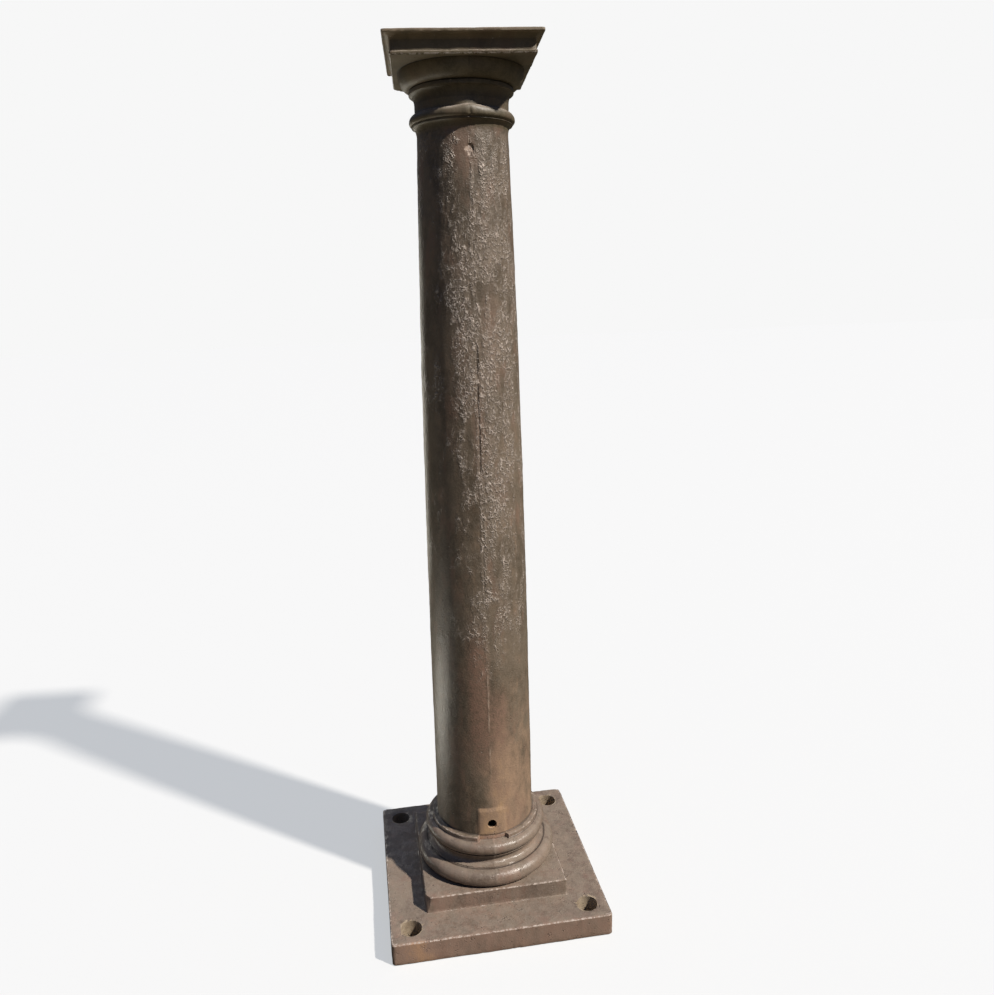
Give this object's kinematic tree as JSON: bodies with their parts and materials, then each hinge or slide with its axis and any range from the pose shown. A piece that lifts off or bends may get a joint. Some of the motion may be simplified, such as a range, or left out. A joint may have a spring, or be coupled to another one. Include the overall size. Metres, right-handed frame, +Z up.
{
  "type": "doric column",
  "caption": "Round cast-iron column that swells and tapers, with a moulded base on a square bolt-down plate, a ring, a rounded echinus and a square abacus.",
  "frame": {"origin": "middle of the base plate's underside, on the ground", "axes": "+Z up along the shaft; -Y is the front, with the drilled pad; +X to the right seen from the front; X and Y run along the plate's sides"},
  "size_m": [0.52, 0.52, 2.027],
  "materials": {
    "weathered_iron": "weathered and pitted, brown rust over dark iron, arrises rubbed brighter"
  },
  "bodies": {
    "root": {"column": "weathered_iron"}
  },
  "joints": []
}
